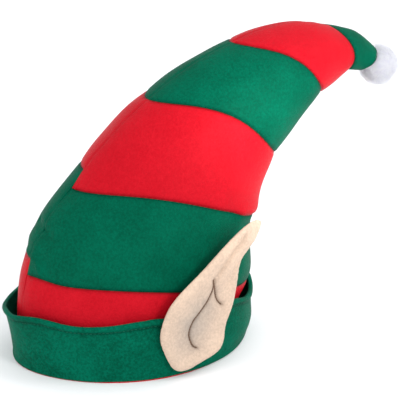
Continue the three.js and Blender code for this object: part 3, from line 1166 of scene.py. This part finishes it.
# Cloth under air pressure, held where it is sewn: at its edge, its back and its stitches
def swellEars(pieces):
    scene = bpy.context.scene
    rests = {}
    for piece, sign in pieces:
        rests[piece.name] = [vert.co.copy() for vert in piece.data.vertices]
        held = piece.vertex_groups.new(name="held")
        for vert in piece.data.vertices:
            sewn = earStitchTree.find(flat(vert.co))[2] < ear["pinReach"]
            if sewn or vert.normal.x * sign < ear["edgeTurn"]:
                held.add([vert.index], 1.0, "REPLACE")
        cloth = piece.modifiers.new("filling", "CLOTH")
        cloth.settings.quality = ear["clothQuality"]
        cloth.settings.mass = ear["clothMass"]
        cloth.settings.tension_stiffness = ear["clothStretch"]
        cloth.settings.compression_stiffness = ear["clothStretch"]
        cloth.settings.bending_stiffness = ear["clothBend"]
        cloth.settings.vertex_group_mass = "held"
        cloth.settings.use_pressure = True
        cloth.settings.uniform_pressure_force = ear["pressure"]
        cloth.settings.effector_weights.gravity = 0
        cloth.collision_settings.use_collision = False
        cloth.point_cache.frame_start = 1
        cloth.point_cache.frame_end = ear["frames"]
    for step in range(1, ear["frames"] + 1):
        scene.frame_set(step)
    for piece, sign in pieces:
        applyModifiers(piece)
        for vert, rest in zip(piece.data.vertices, rests[piece.name]):
            move = vert.co - rest
            if move.length > ear["cap"]:
                vert.co = rest + move.normalized() * ear["cap"]
        piece.vertex_groups.clear()
    scene.frame_set(1)


# Shape of the hollow in the middle of the ear, 1 at its deepest
def earHollow(place):
    slant = Vector((0, place.y - ear["cupBack"], place.z - ear["cupUp"]))
    along = slant.dot(Vector((0, 0.5, 0.87)))
    across = slant.dot(Vector((0, 0.87, -0.5)))
    return math.exp(-(along / ear["cupAlong"]) ** 2 - (across / ear["cupAcross"]) ** 2)


def pullEar(place):
    move = Vector()
    for pull in earPulls:
        away = Vector((0, place.y - pull["back"], place.z - pull["up"])).length / pull["reach"]
        move += Vector((0, pull["moveBack"], pull["moveUp"])) * math.exp(-away * away)
    return move


# Stitches draw the felt in, and the fold above them runs on to the tip of the ear
def shapeEar(piece, sign, seed):
    smoother = piece.modifiers.new("smooth", "SUBSURF")
    smoother.levels = 1
    smoother.render_levels = 1
    applyModifiers(piece)
    shades = []
    hollowShading = []
    normals = [vert.normal.copy() for vert in piece.data.vertices]
    for vert, normal in zip(piece.data.vertices, normals):
        place = flat(vert.co)
        front = ease(normal.x * sign, 0.1, 0.5)
        hollow = earHollow(place)
        away = earStitchTree.find(place)[2]
        nearest, index, offFold = earFoldTree.find(place)
        share = index / (len(earFoldLine) - 1)
        fade = 0
        if offFold < ear["foldReach"]:
            fade = (0.6 + 0.4 * ease(share, 0, 0.15)) * (1 - ease(share, 0.85, 1))
        push = -ear["grooveDepth"] * math.exp(-(away / ear["grooveWidth"]) ** 2)
        offPuff = (away - 1.3 * ear["puffWidth"]) / ear["puffWidth"]
        push += ear["puffDepth"] * math.exp(-offPuff ** 2)
        side = (place - nearest).dot(Vector((0, 0.6, -0.8)))
        push -= fade * ear["foldDepth"] * math.exp(-(offFold / ear["foldWidth"]) ** 2)
        offWall = (side - ear["wallWidth"]) / ear["wallWidth"]
        wall = math.exp(-offWall ** 2) * math.exp(-(offFold / ear["wallReach"]) ** 2)
        push += fade * ear["wallDepth"] * wall
        push -= ear["cupDepth"] * hollow
        push += ear["softDepth"] * ripple(vert.co, ear["softLength"], seed)
        near = ear["nearDepth"] * ripple(vert.co, ear["nearLength"], seed + 2)
        push += near * math.exp(-away / ear["nearReach"])
        vert.co.x += sign * front * push
        vert.co += pullEar(place)
        # Painted shade along the stitch grooves and in the crease of the fold
        crease = ear["creaseShade"] * fade * math.exp(-offFold / ear["creaseReach"])
        shades.append(front * max(math.exp(-away / ear["shadeReach"]), crease))
        # Painted shade in the cupped hollow, made patchy by noise
        patch = 0.5 + 0.5 * ripple(vert.co, ear["patchLength"], seed + 5)
        hollowShading.append(front * min(1, hollow * (0.7 + 0.6 * patch)))
    setShade(piece, shades)
    tint = piece.data.attributes.new("hollow", "FLOAT", "POINT")
    tint.data.foreach_set("value", hollowShading)
    node = piece.name.replace("padded_", "")
    finishPiece(piece, felts["ear_felt"], [node])


def sewEar(piece, sign, sideName):
    surface = surfaceOf(piece)
    places = []
    for name in ("long", "short"):
        points = []
        for point in routeLine(name):
            hit = surface.ray_cast(point + Vector((0.2 * sign, 0, 0)), Vector((-sign, 0, 0)))[0]
            points.append(hit)
        points = [point + pullEar(point) for point in points]
        for place, along in pacedLine(points, ear["stitchPitch"]):
            out = surface.find_nearest(place)[1]
            out = (out - along * out.dot(along)).normalized()
            places.append((place + out * ear["stitchLift"], along, out))
    sewStitches("ear_stitches_" + sideName, places, ear, earThread, 23)


earSides = [("left", 1), ("right", -1)]
earPieces = [(earBlank("ear_" + sideName, sign), sign) for sideName, sign in earSides]
swellEars(earPieces)
for (piece, sign), (sideName, _), seed in zip(earPieces, earSides, (4.1, 9.6)):
    shapeEar(piece, sign, seed)
    sewEar(piece, sign, sideName)
print("ears ready")


# Pompom

pompom = {
    "coreRadius": 0.0165,
    "reach": 0.0046,
    "strands": 14000,
    "baseWidth": 0.00017,
    "tilt": 0.55,
    "shortest": 0.72,
    "curl": 0.0012,
    "curlScale": 260,
    "clumpScale": 240,
    "clumpShort": 0.86,
    "clumpLong": 1.04,
    "lumpHeight": 0.03,
    "lumpScale": 300,
    "bareCone": 36,
    "nudge": (0, 0.0036, 0.0002),
    "seed": 6,
}


# Faces of the round core that the end of the crown covers grow no plush
def plushCore(middle):
    bm = bmesh.new()
    bmesh.ops.create_icosphere(bm, subdivisions=5, radius=pompom["coreRadius"])
    piece = link("plush_ball", bpy.data.meshes.new("plush_ball"))
    tip = crownSpine[-1]
    toTip = (Vector((0, tip["back"], tip["up"])) - middle).normalized()
    limit = math.cos(math.radians(pompom["bareCone"]))
    covers = [face.normal.dot(toTip) < limit for face in bm.faces]
    for vert in bm.verts:
        vert.co *= 1 + pompom["lumpHeight"] * noise.noise(vert.co * pompom["lumpScale"])
        vert.co += middle
    bm.to_mesh(piece.data)
    bm.free()
    cover = piece.data.attributes.new("plushCover", "BOOLEAN", "FACE")
    cover.data.foreach_set("value", covers)
    return piece


def growPlush(piece, middle):
    tree = bpy.data.node_groups.new("plush strands", "GeometryNodeTree")
    tree.interface.new_socket("Geometry", in_out="INPUT", socket_type="NodeSocketGeometry")
    tree.interface.new_socket("Geometry", in_out="OUTPUT", socket_type="NodeSocketGeometry")
    given = tree.nodes.new("NodeGroupInput")
    result = tree.nodes.new("NodeGroupOutput")
    area = 4 * math.pi * pompom["coreRadius"] ** 2
    density = pompom["strands"] / area
    values = {"Density": density, "Seed": pompom["seed"]}
    roots = addNode(tree, "GeometryNodeDistributePointsOnFaces", values)
    cover = addNode(
        tree, "GeometryNodeInputNamedAttribute", {"Name": "plushCover"}, data_type="BOOLEAN"
    )
    join(tree, given.outputs[0], roots.inputs["Mesh"])
    join(tree, cover.outputs["Attribute"], roots.inputs["Selection"])

    strand = addNode(
        tree,
        "GeometryNodeMeshCone",
        {
            "Vertices": 3,
            "Side Segments": 2,
            "Radius Top": 0.0,
            "Radius Bottom": pompom["baseWidth"],
            "Depth": pompom["reach"],
        },
    )
    size = addNode(tree, "FunctionNodeRandomValue", {"Seed": pompom["seed"] + 1})
    size.inputs[2].default_value = pompom["shortest"]
    size.inputs[3].default_value = 1.0
    place = addNode(tree, "GeometryNodeInputPosition").outputs[0]
    clump = addNode(tree, "ShaderNodeTexNoise", {"Scale": pompom["clumpScale"], "Detail": 1})
    join(tree, place, clump.inputs["Vector"])
    short, long = pompom["clumpShort"], pompom["clumpLong"]
    clumpSize = addRange(tree, clump.outputs["Fac"], 0.3, 0.7, short, long)
    length = addMath(tree, "MULTIPLY", size.outputs[1], clumpSize)
    grown = addNode(tree, "GeometryNodeInstanceOnPoints")
    join(tree, roots.outputs["Points"], grown.inputs["Points"])
    join(tree, strand.outputs["Mesh"], grown.inputs["Instance"])
    join(tree, roots.outputs["Rotation"], grown.inputs["Rotation"])
    join(tree, length, grown.inputs["Scale"])
    tilt = addNode(
        tree, "FunctionNodeRandomValue", {"Seed": pompom["seed"] + 2}, data_type="FLOAT_VECTOR"
    )
    tilt.inputs[0].default_value = (-pompom["tilt"], -pompom["tilt"], -3)
    tilt.inputs[1].default_value = (pompom["tilt"], pompom["tilt"], 3)
    tilted = addNode(tree, "GeometryNodeRotateInstances")
    join(tree, grown.outputs[0], tilted.inputs["Instances"])
    join(tree, tilt.outputs[0], tilted.inputs["Rotation"])
    real = addNode(tree, "GeometryNodeRealizeInstances")
    join(tree, tilted.outputs[0], real.inputs[0])

    away = addNode(tree, "ShaderNodeVectorMath", operation="DISTANCE")
    away.inputs[1].default_value = middle
    join(tree, place, away.inputs[0])
    outside = pompom["coreRadius"] + pompom["reach"]
    rise = addRange(tree, away.outputs["Value"], pompom["coreRadius"], outside)
    sway = addNode(tree, "ShaderNodeTexNoise", {"Scale": pompom["curlScale"], "Detail": 1})
    join(tree, place, sway.inputs["Vector"])
    centred = addNode(tree, "ShaderNodeVectorMath", operation="SUBTRACT")
    centred.inputs[1].default_value = (0.5, 0.5, 0.5)
    join(tree, sway.outputs["Color"], centred.inputs[0])
    curl = addNode(tree, "ShaderNodeVectorMath", operation="SCALE")
    join(tree, centred.outputs[0], curl.inputs[0])
    join(tree, addMath(tree, "MULTIPLY", rise, 2 * pompom["curl"]), curl.inputs["Scale"])
    bent = addNode(tree, "GeometryNodeSetPosition")
    join(tree, real.outputs[0], bent.inputs["Geometry"])
    join(tree, curl.outputs[0], bent.inputs["Offset"])
    both = addNode(tree, "GeometryNodeJoinGeometry")
    join(tree, bent.outputs[0], both.inputs[0])
    join(tree, given.outputs[0], both.inputs[0])
    join(tree, both.outputs[0], result.inputs[0])
    grower = piece.modifiers.new("plush", "NODES")
    grower.node_group = tree
    applyModifiers(piece)


ballLow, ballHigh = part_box("pompom")
ballMiddle = (ballLow + ballHigh) / 2 + Vector(pompom["nudge"])
ball = plushCore(ballMiddle)
growPlush(ball, ballMiddle)
finishPiece(ball, plush, ["pompom"])
print("pompom ready", len(ball.data.polygons), "faces")
